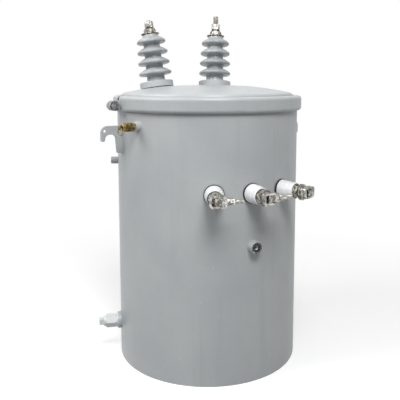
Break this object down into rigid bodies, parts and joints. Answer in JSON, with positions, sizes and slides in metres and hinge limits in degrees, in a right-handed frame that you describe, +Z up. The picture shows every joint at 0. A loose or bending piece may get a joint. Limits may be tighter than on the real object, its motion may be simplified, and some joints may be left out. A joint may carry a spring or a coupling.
{
  "type": "pole mounted transformer",
  "caption": "Cylindrical oil-filled distribution transformer with banded domed cover, shedded bushings, side terminals, lifting lugs and pole brackets.",
  "frame": {"origin": "centre of the tank's foot circle, on the floor", "axes": "+Z up along the tank; -Y is the low-voltage terminal side; +Y is the pole side"},
  "size_m": [0.618, 0.6356, 0.9661],
  "materials": {
    "tank_paint": "gloss",
    "gasket_rubber": "matte",
    "grey_glaze": "gloss",
    "white_glaze": "gloss",
    "tinned_bronze": "satin",
    "plain_brass": "satin",
    "plated_steel": "satin",
    "core_steel": "matte"
  },
  "bodies": {
    "root": {"band_bolt": "plated_steel", "core_and_coils": "core_steel", "cover": "tank_paint", "cover_band": "tank_paint", "cover_gasket": "gasket_rubber", "drain_coupling": "tank_paint", "drain_plug": "tank_paint", "ground_boss": "tank_paint", "hv1_clamp_ring": "tank_paint", "hv1_eyebolt": "tinned_bronze", "hv1_gasket": "gasket_rubber", "hv1_porcelain": "grey_glaze", "hv1_post": "tinned_bronze", "hv2_clamp_ring": "tank_paint", "hv2_eyebolt": "tinned_bronze", "hv2_gasket": "gasket_rubber", "hv2_porcelain": "grey_glaze", "hv2_post": "tinned_bronze", "lifting_lug_left": "tank_paint", "lifting_lug_right": "tank_paint", "lv1_eyebolt": "tinned_bronze", "lv1_gasket": "gasket_rubber", "lv1_porcelain": "white_glaze", "lv1_post": "tinned_bronze", "lv2_eyebolt": "tinned_bronze", "lv2_gasket": "gasket_rubber", "lv2_porcelain": "white_glaze", "lv2_post": "tinned_bronze", "lv3_eyebolt": "tinned_bronze", "lv3_gasket": "gasket_rubber", "lv3_porcelain": "white_glaze", "lv3_post": "tinned_bronze", "pole_hanger_lower": "tank_paint", "pole_hanger_upper": "tank_paint", "relief_boss": "tank_paint", "relief_ring": "plain_brass", "relief_valve": "plain_brass", "side_boss": "tank_paint", "tank_bottom": "tank_paint", "tank_rim": "tank_paint", "tank_wall": "tank_paint"}
  },
  "joints": []
}
